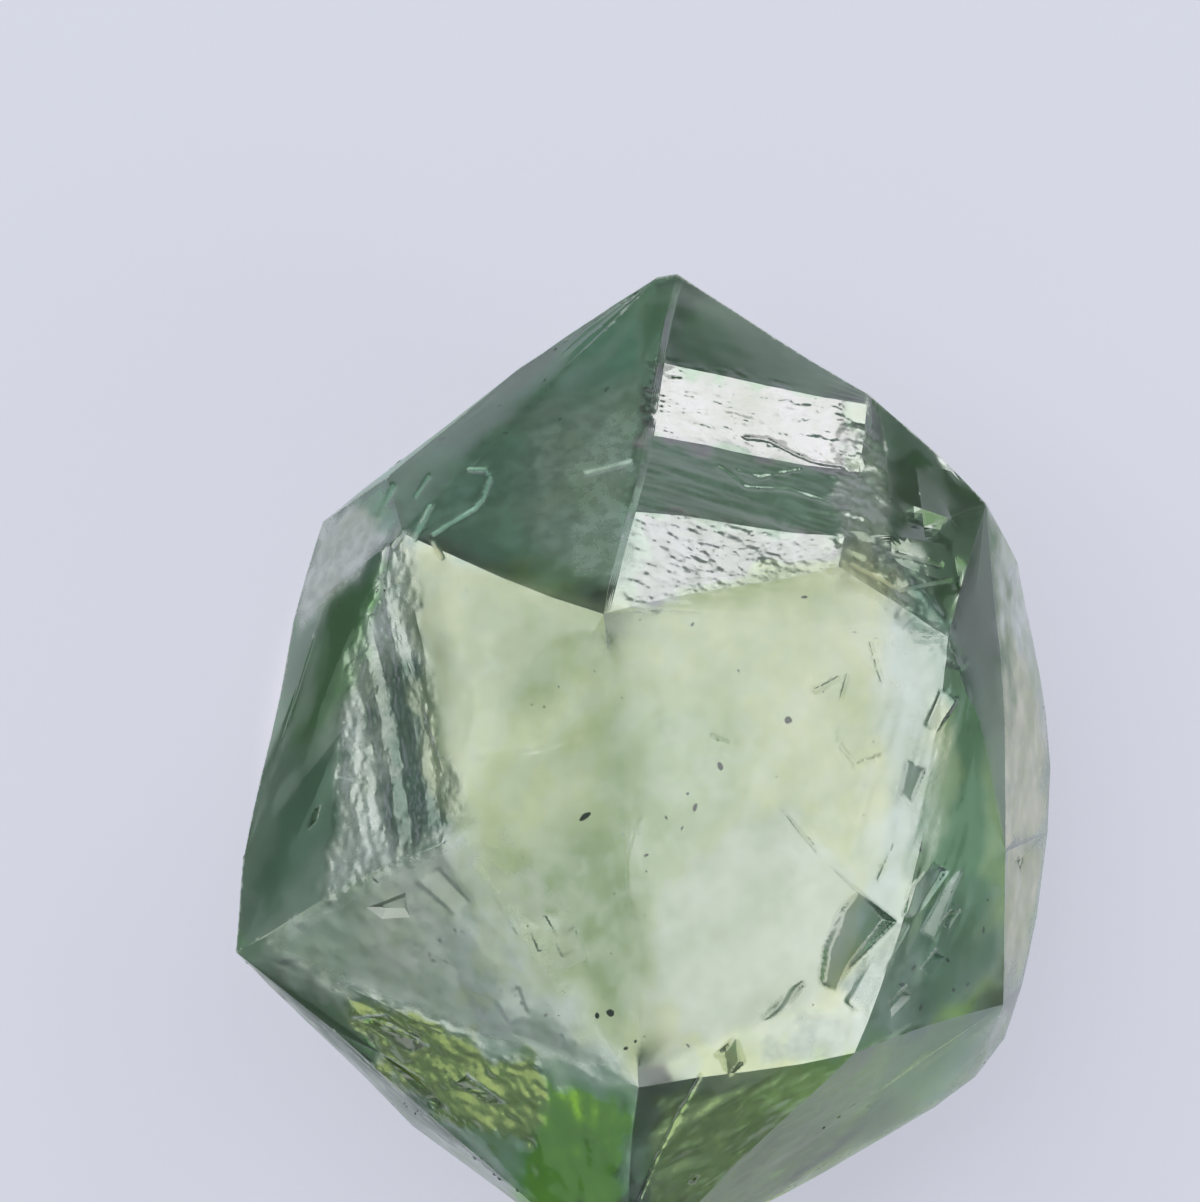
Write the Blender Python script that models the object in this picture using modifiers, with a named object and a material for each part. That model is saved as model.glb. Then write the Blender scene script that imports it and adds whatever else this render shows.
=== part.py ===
"""A rough diamond: one rounded, twelve-sided crystal lying on one of its own faces.

A well-grown diamond of this habit starts as a rhombic dodecahedron. Solution has bent each
rhombic face along its short diagonal and domed the two halves, left terraces and grooves on
some of them, and kept the ridges between them sharp. The crystal is one closed body in
metres, +Z up, with its origin under the middle of its outline, on the surface it lies on.
"""

import math
import random

import bmesh
import bpy
from mathutils import Vector

MM = 0.001
NAME = "rough_diamond"

# The crystal's corners, in millimetres: X across, Y along, Z up from the face it lies on.
# Front: the bent central face and the four faces round it.
FRONT_CORNERS = {
    "summit": (-0.27, 1.13, 4.41),
    "summit_low": (-0.04, -2.18, 3.75),
    "tip": (0.23, 3.51, 2.10),
    "tip_left": (0.10, 3.49, 2.10),
    "foot": (-0.16, -3.51, 2.73),
    "bend_left": (-1.69, 1.68, 3.40),
    "bend_right": (1.36, 1.48, 3.52),
    "side_left": (-1.29, -0.42, 3.99),
    "side_right_top": (2.12, 0.95, 3.05),
    "side_right": (1.81, -1.01, 2.95),
    "bend_low": (1.45, -1.92, 3.00),
    "groove_top": (-1.83, 1.39, 3.31),
    "groove_mid": (-2.10, 0.36, 3.17),
    "groove_low": (-2.26, -0.85, 3.12),
}
# Girdle: the sharp rim that is the outline from above.
GIRDLE_CORNERS = {
    "rim_top_left": (-0.88, 2.86, 2.33),
    "shoulder_left_upper": (-1.82, 2.07, 2.85),
    "shoulder_left": (-2.25, 1.78, 2.40),
    "chip_left": (-2.18, 1.30, 2.95),
    "rim_left_top": (-2.44, 1.10, 2.62),
    "rim_left_mid": (-2.68, 0.04, 2.60),
    "rim_left_low": (-2.81, -0.56, 2.56),
    "hip_left": (-2.86, -1.21, 2.56),
    "rim_top_right": (1.56, 2.67, 2.39),
    "shoulder_right": (2.38, 1.90, 2.48),
    "rim_right_top": (2.48, 0.81, 2.55),
    "rim_right_mid": (2.53, -0.52, 2.38),
    "hip_right": (2.50, -1.60, 2.03),
}
# Flanks: where the undersides of the side faces bulge out past the girdle.
FLANK_CORNERS = {
    "flank_right_1": (2.61, 1.50, 1.75),
    "flank_right_2": (2.72, 0.95, 1.30),
    "flank_right_3": (2.81, 0.43, 1.05),
    "flank_right_4": (2.84, 0.08, 0.95),
    "flank_right_5": (2.82, -0.38, 1.00),
    "flank_right_6": (2.75, -0.97, 1.10),
    "flank_right_7": (2.64, -1.46, 1.22),
    "flank_low_1": (2.52, -1.84, 1.32),
    "flank_low_2": (2.32, -2.12, 1.38),
    "flank_low_3": (2.05, -2.34, 1.42),
    "flank_low_4": (1.73, -2.52, 1.48),
    "flank_low_5": (1.29, -2.73, 1.60),
    "flank_low_6": (0.76, -2.95, 1.75),
    "flank_left_1": (-2.42, -1.64, 1.47),
    "flank_left_2": (-1.98, -2.10, 1.52),
    "flank_left_3": (-1.61, -2.46, 1.61),
}
# Seat: the flat face that the crystal lies on.
SEAT_CORNERS = {
    "seat_1": (0.39, 2.35, 0.0),
    "seat_2": (1.65, 1.51, 0.0),
    "seat_3": (2.00, -0.17, 0.0),
    "seat_4": (1.36, -1.57, 0.0),
    "seat_5": (-0.04, -2.13, 0.0),
    "seat_6": (-1.51, -1.15, 0.0),
    "seat_7": (-1.93, 0.25, 0.0),
    "seat_8": (-1.36, 1.51, 0.0),
}

# Terraces: shallow steps across the upper right face. Each line is (left end, right end) in
# plan, with the height that it is raised or sunk at its two ends.
TERRACE_LINES = (
    ((0.02, 2.90), (1.45, 2.62), (0.14, 0.09)),
    ((-0.02, 2.37), (1.42, 2.14), (-0.06, -0.05)),
    ((-0.09, 1.83), (1.37, 1.69), (0.16, 0.07)),
)
TERRACE_LEFT = ("tip", "summit")
TERRACE_RIGHT = ((1.56, 2.56), (1.36, 1.48))
TERRACE_RISER = 0.05

# Grooves: long furrows on the left face, side by side and parallel to its upper ridge. Each
# line is its distance from that ridge and how far it is raised, against the full depth. Each
# stop is a plan line across them, with the share of their full depth that they have there.
GROOVE_RIDGE = ("side_left", "bend_left")
GROOVE_LINES = (
    (0.10, -0.6),
    (0.19, 0.5),
    (0.32, -1.0),
    (0.41, 0.7),
    (0.50, -0.5),
    (0.66, 0.9),
)
GROOVE_DEPTH = 0.030
GROOVE_SPOTS = ((-1.85, 0.40), (-1.72, 1.30))
GROOVE_STOPS = (
    ((-2.40, -0.75), (-1.20, -0.24), 0.5),
    ((-2.40, -0.25), (-1.20, -0.05), 1.0),
    ((-2.40, 0.40), (-1.20, 0.35), 0.7),
    ((-2.40, 0.85), (-1.20, 0.95), 1.0),
    ((-2.40, 1.20), (-1.20, 1.32), 0.5),
)

# Hackle: a broken patch beside the right shoulder, its steps small and uneven.
HACKLE_SPOTS = ((1.95, 1.60), (1.85, 2.05), (2.05, 1.25))
HACKLE_LINES = (
    ((1.30, 1.62), (2.50, 1.20)),
    ((1.30, 1.75), (2.50, 1.52)),
    ((1.40, 2.02), (2.50, 1.66)),
    ((1.40, 2.30), (2.50, 2.02)),
    ((1.62, 2.70), (1.78, 1.00)),
    ((1.80, 2.60), (2.06, 1.00)),
    ((2.05, 2.40), (2.24, 1.00)),
)
HACKLE_RISE = 0.045
HACKLE_SEED = 7

# Every growth face is domed: its middle stands proud by a share of the face's own width.
DOME_SHARE = 0.030
DOME_LEAST_WIDTH = 0.5
FLAT_ANGLE = math.radians(1.5)
RIDGE_ANGLE = math.radians(3.0)
SMOOTH_LEVELS = 2

# Etch pits: small sunken spots, most of them on the lower faces. The inset is a share of the
# width of the bit of face that the pit is sunk into.
PIT_SPOTS = (
    (2.05, -1.30),
    (2.16, -1.02),
    (1.78, -1.52),
    (-1.86, -0.92),
    (-2.30, -0.30),
    (-1.55, -1.90),
    (-1.10, -2.20),
    (-1.45, -2.30),
)
PIT_INSET_SHARE = 0.33
PIT_DEPTH = 0.040

# Bending: the whole crystal is very slightly warped in plan, so that no ridge is a ruled line.
BEND_REACH = 0.022
BEND_WAVE = 1.9


def corner_points():
    """Return every corner as a vector in metres."""
    corners = {}
    for group in (FRONT_CORNERS, GIRDLE_CORNERS, FLANK_CORNERS, SEAT_CORNERS):
        corners.update(group)
    return {name: Vector(place) * MM for name, place in corners.items()}


def hull_of_corners():
    """Wrap the corners in flat faces: the crystal before its faces were rounded."""
    bm = bmesh.new()
    for point in corner_points().values():
        bm.verts.new(point)
    result = bmesh.ops.convex_hull(bm, input=bm.verts[:])
    loose = {
        item
        for item in result["geom_interior"] + result["geom_unused"]
        if isinstance(item, bmesh.types.BMVert)
    }
    bmesh.ops.delete(bm, geom=list(loose), context="VERTS")
    bmesh.ops.dissolve_limit(bm, angle_limit=FLAT_ANGLE, verts=bm.verts[:], edges=bm.edges[:])
    bmesh.ops.recalc_face_normals(bm, faces=bm.faces[:])
    bm.normal_update()
    return bm


def side_of(point, start, end):
    """Distance in plan from the line start-end, positive on its left side."""
    along = Vector((end[0] - start[0], end[1] - start[1])).normalized()
    return along.x * (point[1] - start[1]) - along.y * (point[0] - start[0])


def share_along(point, start, end):
    """How far a plan point lies along the line start-end, from 0 to 1."""
    along = Vector((end[0] - start[0], end[1] - start[1]))
    return ((point[0] - start[0]) * along.x + (point[1] - start[1]) * along.y) / along.length_squared


def top_face_at(bm, spot):
    """The upward face of the crystal that lies over a plan point."""
    for face in bm.faces:
        if face.normal.z <= 0.0:
            continue
        ring = [vert.co for vert in face.verts]
        sides = [side_of(spot, ring[k - 1], ring[k]) for k in range(len(ring))]
        if min(sides) > 0.0:
            return face
    raise ValueError("no face over this spot")


def score(bm, faces, start, end, shift=0.0):
    """Cut the faces along the upright plane through a plan line, moved sideways by shift."""
    along = Vector((end[0] - start[0], end[1] - start[1], 0.0)).normalized()
    across = Vector((-along.y, along.x, 0.0))
    origin = Vector((start[0], start[1], 0.0)) + across * shift
    faces = [face for face in faces if face.is_valid]
    edges = {edge for face in faces for edge in face.edges}
    verts = {vert for face in faces for vert in face.verts}
    bmesh.ops.bisect_plane(
        bm, geom=faces + list(edges) + list(verts), dist=1e-8, plane_co=origin, plane_no=across
    )


def faces_marked(bm, layer, mark):
    """The faces that carry a mark; pieces cut from a marked face keep it."""
    return [face for face in bm.faces if face[layer] == mark]


def cut_terraces(bm, corners, layer):
    """Step the upper right face: narrow risers at both ends, raised and sunk lines between."""
    mark = 1
    left_start, left_end = (corners[name] for name in TERRACE_LEFT)
    right_start, right_end = (tuple(MM * value for value in spot) for spot in TERRACE_RIGHT)
    lines = [
        (tuple(MM * value for value in start), tuple(MM * value for value in end), lift)
        for start, end, lift in TERRACE_LINES
    ]
    middle = Vector(lines[1][0]).lerp(Vector(lines[1][1]), 0.5)
    top_face_at(bm, middle)[layer] = mark
    riser = TERRACE_RISER * MM
    score(bm, faces_marked(bm, layer, mark), left_start, left_end, riser)
    score(bm, faces_marked(bm, layer, mark), right_start, right_end)
    score(bm, faces_marked(bm, layer, mark), right_start, right_end, riser)
    for start, end, _ in lines:
        score(bm, faces_marked(bm, layer, mark), start, end)
    near = 0.02 * MM
    verts = {vert for face in faces_marked(bm, layer, mark) for vert in face.verts}
    for vert in verts:
        past_left = side_of(vert.co, left_start, left_end)
        past_right = side_of(vert.co, right_start, right_end)
        if past_left < riser - near or past_right > near:
            continue
        for start, end, (lift_left, lift_right) in lines:
            if abs(side_of(vert.co, start, end)) < near:
                share = share_along(vert.co, start, end)
                vert.co.z += MM * (lift_left + (lift_right - lift_left) * share)


def cut_grooves(bm, corners, layer):
    """Furrow the left face with lines parallel to its upper ridge, sunk and raised in turn."""
    mark = 2
    start, end = (corners[name] for name in GROOVE_RIDGE)
    stops = [
        (tuple(MM * value for value in low), tuple(MM * value for value in high), depth)
        for low, high, depth in GROOVE_STOPS
    ]
    for spot in GROOVE_SPOTS:
        top_face_at(bm, Vector(spot) * MM)[layer] = mark
    for distance, _ in GROOVE_LINES:
        score(bm, faces_marked(bm, layer, mark), start, end, distance * MM)
    for low, high, _ in stops:
        score(bm, faces_marked(bm, layer, mark), low, high)
    near = 0.002 * MM
    for vert in {vert for face in faces_marked(bm, layer, mark) for vert in face.verts}:
        out = side_of(vert.co, start, end)
        for distance, lift in GROOVE_LINES:
            if abs(out - distance * MM) > near:
                continue
            for low, high, depth in stops:
                if abs(side_of(vert.co, low, high)) < near:
                    vert.co.z += GROOVE_DEPTH * MM * depth * lift


def break_hackle(bm, layer):
    """Break the shoulder face into small uneven steps."""
    mark = 3
    for spot in HACKLE_SPOTS:
        top_face_at(bm, Vector(spot) * MM)[layer] = mark
    for start, end in HACKLE_LINES:
        line = (tuple(MM * value for value in start), tuple(MM * value for value in end))
        score(bm, faces_marked(bm, layer, mark), *line)
    steps = random.Random(HACKLE_SEED)
    verts = {vert for face in faces_marked(bm, layer, mark) for vert in face.verts}
    for vert in sorted(verts, key=lambda vert: tuple(vert.co)):
        lift = steps.uniform(-HACKLE_RISE, HACKLE_RISE) * MM
        if all(face[layer] == mark for face in vert.link_faces):
            vert.co.z += lift


def dome_faces(bm, layer):
    """Crease the ridges, then raise the middle of every plain growth face."""
    crease = bm.edges.layers.float.new("crease_edge")
    bm.normal_update()
    for edge in bm.edges:
        if edge.calc_face_angle(0.0) > RIDGE_ANGLE:
            edge[crease] = 1.0
            edge.smooth = False
    seat_height = 0.01 * MM
    for face in bm.faces[:]:
        width = math.sqrt(face.calc_area())
        on_seat = max(vert.co.z for vert in face.verts) < seat_height
        if face[layer] or on_seat or width < DOME_LEAST_WIDTH * MM:
            continue
        bmesh.ops.poke(bm, faces=[face], offset=DOME_SHARE * width)


def outline_middle(corners):
    """The middle of the outline in plan, which is moved to the origin."""
    xs = [point.x for point in corners.values()]
    ys = [point.y for point in corners.values()]
    return Vector(((min(xs) + max(xs)) / 2.0, (min(ys) + max(ys)) / 2.0, 0.0))


def sink_pits(bm):
    """Sink a small pit into the face over each pit spot."""
    bm.normal_update()
    for spot in PIT_SPOTS:
        face = top_face_at(bm, Vector(spot) * MM)
        inset = PIT_INSET_SHARE * math.sqrt(face.calc_area())
        bmesh.ops.inset_individual(bm, faces=[face], thickness=inset)
        sink = face.normal * PIT_DEPTH * MM
        for vert in face.verts:
            vert.co -= sink


def bend_ridges(bm):
    """Warp the crystal gently in plan; the bend fades to nothing at the outermost corners."""
    wave = math.tau / (BEND_WAVE * MM)
    half_width = max(vert.co.x for vert in bm.verts)
    half_length = max(vert.co.y for vert in bm.verts)
    for vert in bm.verts:
        fade_x = 1.0 - (vert.co.x / half_width) ** 4
        fade_y = 1.0 - (vert.co.y / half_length) ** 4
        reach = BEND_REACH * MM
        shift_x = reach * fade_x * math.sin(wave * vert.co.y + 0.6)
        shift_y = reach * fade_y * math.sin(wave * vert.co.x + 1.1)
        vert.co.x += shift_x
        vert.co.y += shift_y


def diamond_material():
    """Pale green diamond: clear, very bright, with the soft gloss of etched growth faces."""
    material = bpy.data.materials.new("diamond_green")
    material.use_nodes = True
    shader = material.node_tree.nodes["Principled BSDF"]
    shader.inputs["Base Color"].default_value = (0.42, 0.52, 0.34, 1.0)
    shader.inputs["Roughness"].default_value = 0.08
    shader.inputs["Metallic"].default_value = 0.0
    shader.inputs["IOR"].default_value = 2.417
    return material


def rounded_mesh(bm, collection):
    """Smooth the domed faces between their creased ridges and return the resulting mesh."""
    cage_mesh = bpy.data.meshes.new(NAME + "_cage")
    bm.to_mesh(cage_mesh)
    bm.free()
    cage = bpy.data.objects.new(NAME + "_cage", cage_mesh)
    collection.objects.link(cage)
    smooth = cage.modifiers.new("domed_faces", "SUBSURF")
    smooth.levels = SMOOTH_LEVELS
    smooth.render_levels = SMOOTH_LEVELS
    evaluated = cage.evaluated_get(bpy.context.evaluated_depsgraph_get())
    mesh = bpy.data.meshes.new_from_object(evaluated)
    bpy.data.objects.remove(cage, do_unlink=True)
    return mesh


def build_crystal():
    """Build the crystal: corners, terraces, grooves, hackle, domes, pits and bent ridges."""
    collection = bpy.data.collections.new(NAME)
    bpy.context.scene.collection.children.link(collection)
    corners = corner_points()
    bm = hull_of_corners()
    layer = bm.faces.layers.int.new("patch")
    cut_terraces(bm, corners, layer)
    cut_grooves(bm, corners, layer)
    break_hackle(bm, layer)
    dome_faces(bm, layer)
    mesh = rounded_mesh(bm, collection)

    bm = bmesh.new()
    bm.from_mesh(mesh)
    sink_pits(bm)
    bmesh.ops.translate(bm, verts=bm.verts[:], vec=-outline_middle(corners))
    bend_ridges(bm)
    bm.to_mesh(mesh)
    bm.free()
    mesh.name = NAME
    mesh.materials.append(diamond_material())
    mesh.shade_smooth()
    mesh.set_sharp_from_angle(angle=RIDGE_ANGLE * 3.0)
    crystal = bpy.data.objects.new(NAME, mesh)
    collection.objects.link(crystal)
    return crystal


def clear_scene():
    """Remove what the scene holds."""
    for thing in list(bpy.data.objects):
        bpy.data.objects.remove(thing, do_unlink=True)


def main():
    """Build the part."""
    clear_scene()
    build_crystal()


if __name__ == "__main__":
    main()
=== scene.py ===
"""Rough diamond: a pale green, etched crystal and the plain light table that it lies on.

Laid out as an add-on and run as a script. The crystal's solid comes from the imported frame; its
copy is refined, worn and etched here, and takes a see-through material of its own.
"""

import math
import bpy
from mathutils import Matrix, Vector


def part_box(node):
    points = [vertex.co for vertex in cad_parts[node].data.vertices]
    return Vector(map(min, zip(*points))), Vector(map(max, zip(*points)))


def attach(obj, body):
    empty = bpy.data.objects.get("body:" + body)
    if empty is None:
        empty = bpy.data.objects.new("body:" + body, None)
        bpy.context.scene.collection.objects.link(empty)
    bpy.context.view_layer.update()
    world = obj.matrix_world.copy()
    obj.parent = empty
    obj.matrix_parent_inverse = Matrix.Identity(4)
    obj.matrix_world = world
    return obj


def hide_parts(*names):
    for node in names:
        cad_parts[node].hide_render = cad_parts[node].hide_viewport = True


bl_info = {
    "name": "Rough Diamond Looks",
    "version": (1, 0, 0),
    "blender": (4, 5, 0),
    "location": "3D View > Sidebar > Diamond",
    "description": "Dresses the packed crystal with etched faces, inclusions, scratches and a stage",
    "category": "Mesh",
}

import bmesh
import bpy
import numpy as np
from mathutils import Euler, Vector
from mathutils.bvhtree import BVHTree

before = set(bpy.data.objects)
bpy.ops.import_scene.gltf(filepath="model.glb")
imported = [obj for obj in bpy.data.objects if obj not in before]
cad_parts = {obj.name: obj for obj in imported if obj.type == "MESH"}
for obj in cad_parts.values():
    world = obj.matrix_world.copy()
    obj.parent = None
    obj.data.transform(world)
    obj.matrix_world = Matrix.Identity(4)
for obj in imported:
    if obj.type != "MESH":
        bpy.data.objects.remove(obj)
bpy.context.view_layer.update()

MM = 0.001
NODE = "rough_diamond"
BODY = "root"
CAD_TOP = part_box(NODE)[1].z
MERGE_GAP = 1e-4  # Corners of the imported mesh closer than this, in millimetres, are one.


def srgb(code):
    """An sRGB hex colour as linear red, green, blue."""
    values = [int(code[k : k + 2], 16) / 255.0 for k in (1, 3, 5)]
    return tuple(v / 12.92 if v <= 0.04045 else ((v + 0.055) / 1.055) ** 2.4 for v in values)


def add_node(tree, kind, links=None, **settings):
    """Add a node; settings are its attributes or, by name, its inputs, and links its sources."""
    node = tree.nodes.new(kind)
    for key, value in settings.items():
        if hasattr(node, key):
            setattr(node, key, value)
        else:
            node.inputs[key.replace("_", " ")].default_value = value
    for socket, source in (links or {}).items():
        tree.links.new(source, node.inputs[socket])
    return node


def empty_tree(owner):
    """The node tree of a new material or world, with nothing in it yet."""
    owner.use_nodes = True
    owner.node_tree.nodes.clear()
    return owner.node_tree


def show(thing):
    """Link an object to the scene."""
    bpy.context.scene.collection.objects.link(thing)
    return thing


def packed_crystal():
    """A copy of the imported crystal's mesh, with its loose triangles joined up."""
    bm = bmesh.new()
    bm.from_mesh(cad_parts[NODE].data)
    bmesh.ops.remove_doubles(bm, verts=bm.verts[:], dist=MERGE_GAP * MM)
    return bm


def places(verts):
    """The places of vertices, in millimetres."""
    return np.array([vert.co[:] for vert in verts]) / MM


def number_property(name, description, default):
    """A property that is a plain number."""
    return bpy.props.FloatProperty(name=name, description=description, default=default)


def length_property(name, description, default):
    """A property that is a length in metres."""
    return bpy.props.FloatProperty(
        name=name, description=description, default=default, unit="LENGTH", precision=6,
    )


def colour_property(name, description, code):
    """A property that is a colour, from its hex code."""
    return bpy.props.FloatVectorProperty(
        name=name, description=description, default=srgb(code), subtype="COLOR", min=0.0, max=1.0,
    )


# ---------------------------------------------------------------- crystal surface

# Lengths are in millimetres, and a plan outline is the corners of a place seen from above.
#
# Patches of the front that carry their own relief: the longest mesh edge there, layers of relief
# and a plan outline. A layer is its height, its wavelength, how many times longer than wide its
# forms are, the plan direction in degrees that they run in, and its seed.
PATCHES = {
    "left_band": (0.033, (
        (0.0066, 0.08, 2.0, 97.0, 11), (0.0044, 0.05, 1.2, 80.0, 12),
    ), (
        (-1.72, 1.69), (-1.61, 1.43), (-1.52, 0.72), (-1.38, 0.12), (-1.20, -0.37), (-1.71, -0.60),
        (-2.26, -0.86), (-2.19, -0.71), (-2.13, -0.29), (-2.09, 0.15), (-2.11, 0.53), (-2.02, 0.96),
        (-1.85, 1.43),
    )),
    "upper_terrace": (0.03, (
        (0.0036, 0.055, 5.0, -9.0, 21), (0.003, 0.042, 1.8, -20.0, 22),
    ), (
        (0.02, 2.89), (0.05, 2.92), (1.42, 2.62), (1.46, 2.16), (0.70, 2.32), (-0.02, 2.40),
    )),
    "lower_terrace": (0.03, (
        (0.003, 0.05, 3.5, -14.0, 31), (0.0026, 0.04, 1.4, 10.0, 32),
    ), (
        (-0.10, 1.86), (1.34, 1.66), (1.32, 1.44), (0.30, 1.20), (-0.15, 1.16),
    )),
    "terrace_riser": (0.038, (
        (0.006, 0.1, 9.0, -16.0, 41),
    ), (
        (-0.02, 2.40), (0.70, 2.32), (1.46, 2.16), (1.34, 1.66), (-0.10, 1.86),
    )),
    "hackle": (0.036, (
        (0.016, 0.13, 2.6, -20.0, 51), (0.007, 0.06, 2.0, 40.0, 52),
    ), (
        (1.38, 2.60), (1.60, 2.35), (1.78, 1.60), (2.15, 1.00), (2.20, 0.78), (1.90, 0.95),
        (1.55, 1.35), (1.30, 1.44),
    )),
    "lower_left_triangle": (0.044, (
        (0.0045, 0.12, 1.4, 60.0, 61), (0.008, 0.36, 1.0, 0.0, 62),
    ), (
        (-2.74, -1.24), (-2.25, -0.93), (-1.71, -0.62), (-1.25, -0.45), (-0.95, -0.85),
        (-0.50, -1.60), (-0.18, -2.08), (-0.80, -1.93), (-1.90, -1.52),
    )),
    "foot_etch": (0.036, (
        (0.013, 0.13, 1.4, -30.0, 71), (0.005, 0.05, 1.0, 0.0, 72),
    ), (
        (-2.04, -1.58), (-1.85, -1.58), (-1.30, -1.80), (-0.72, -2.02), (-0.70, -2.25),
        (-0.80, -2.60), (-1.12, -2.48), (-1.50, -2.37), (-1.82, -2.12),
    )),
    "foot_left": (0.06, (
        (0.008, 0.2, 3.0, 80.0, 101),
    ), (
        (-0.75, -2.04), (-0.05, -2.26), (-0.12, -3.40), (-1.10, -3.00),
    )),
    "foot_right": (0.048, (
        (0.006, 0.11, 6.0, 28.0, 81), (0.003, 0.06, 2.0, 28.0, 82),
    ), (
        (0.10, -2.25), (1.35, -2.05), (1.85, -1.75), (1.60, -2.30), (0.90, -2.95), (0.05, -3.40),
    )),
    "right_flank": (0.055, (
        (0.0035, 0.11, 8.0, 74.0, 91), (0.004, 0.3, 1.5, 74.0, 92),
    ), (
        (1.60, 0.60), (2.10, 0.95), (2.30, 0.40), (2.25, -1.00), (1.78, -1.55), (1.25, -1.90),
        (1.45, -1.20),
    )),
}

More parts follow.
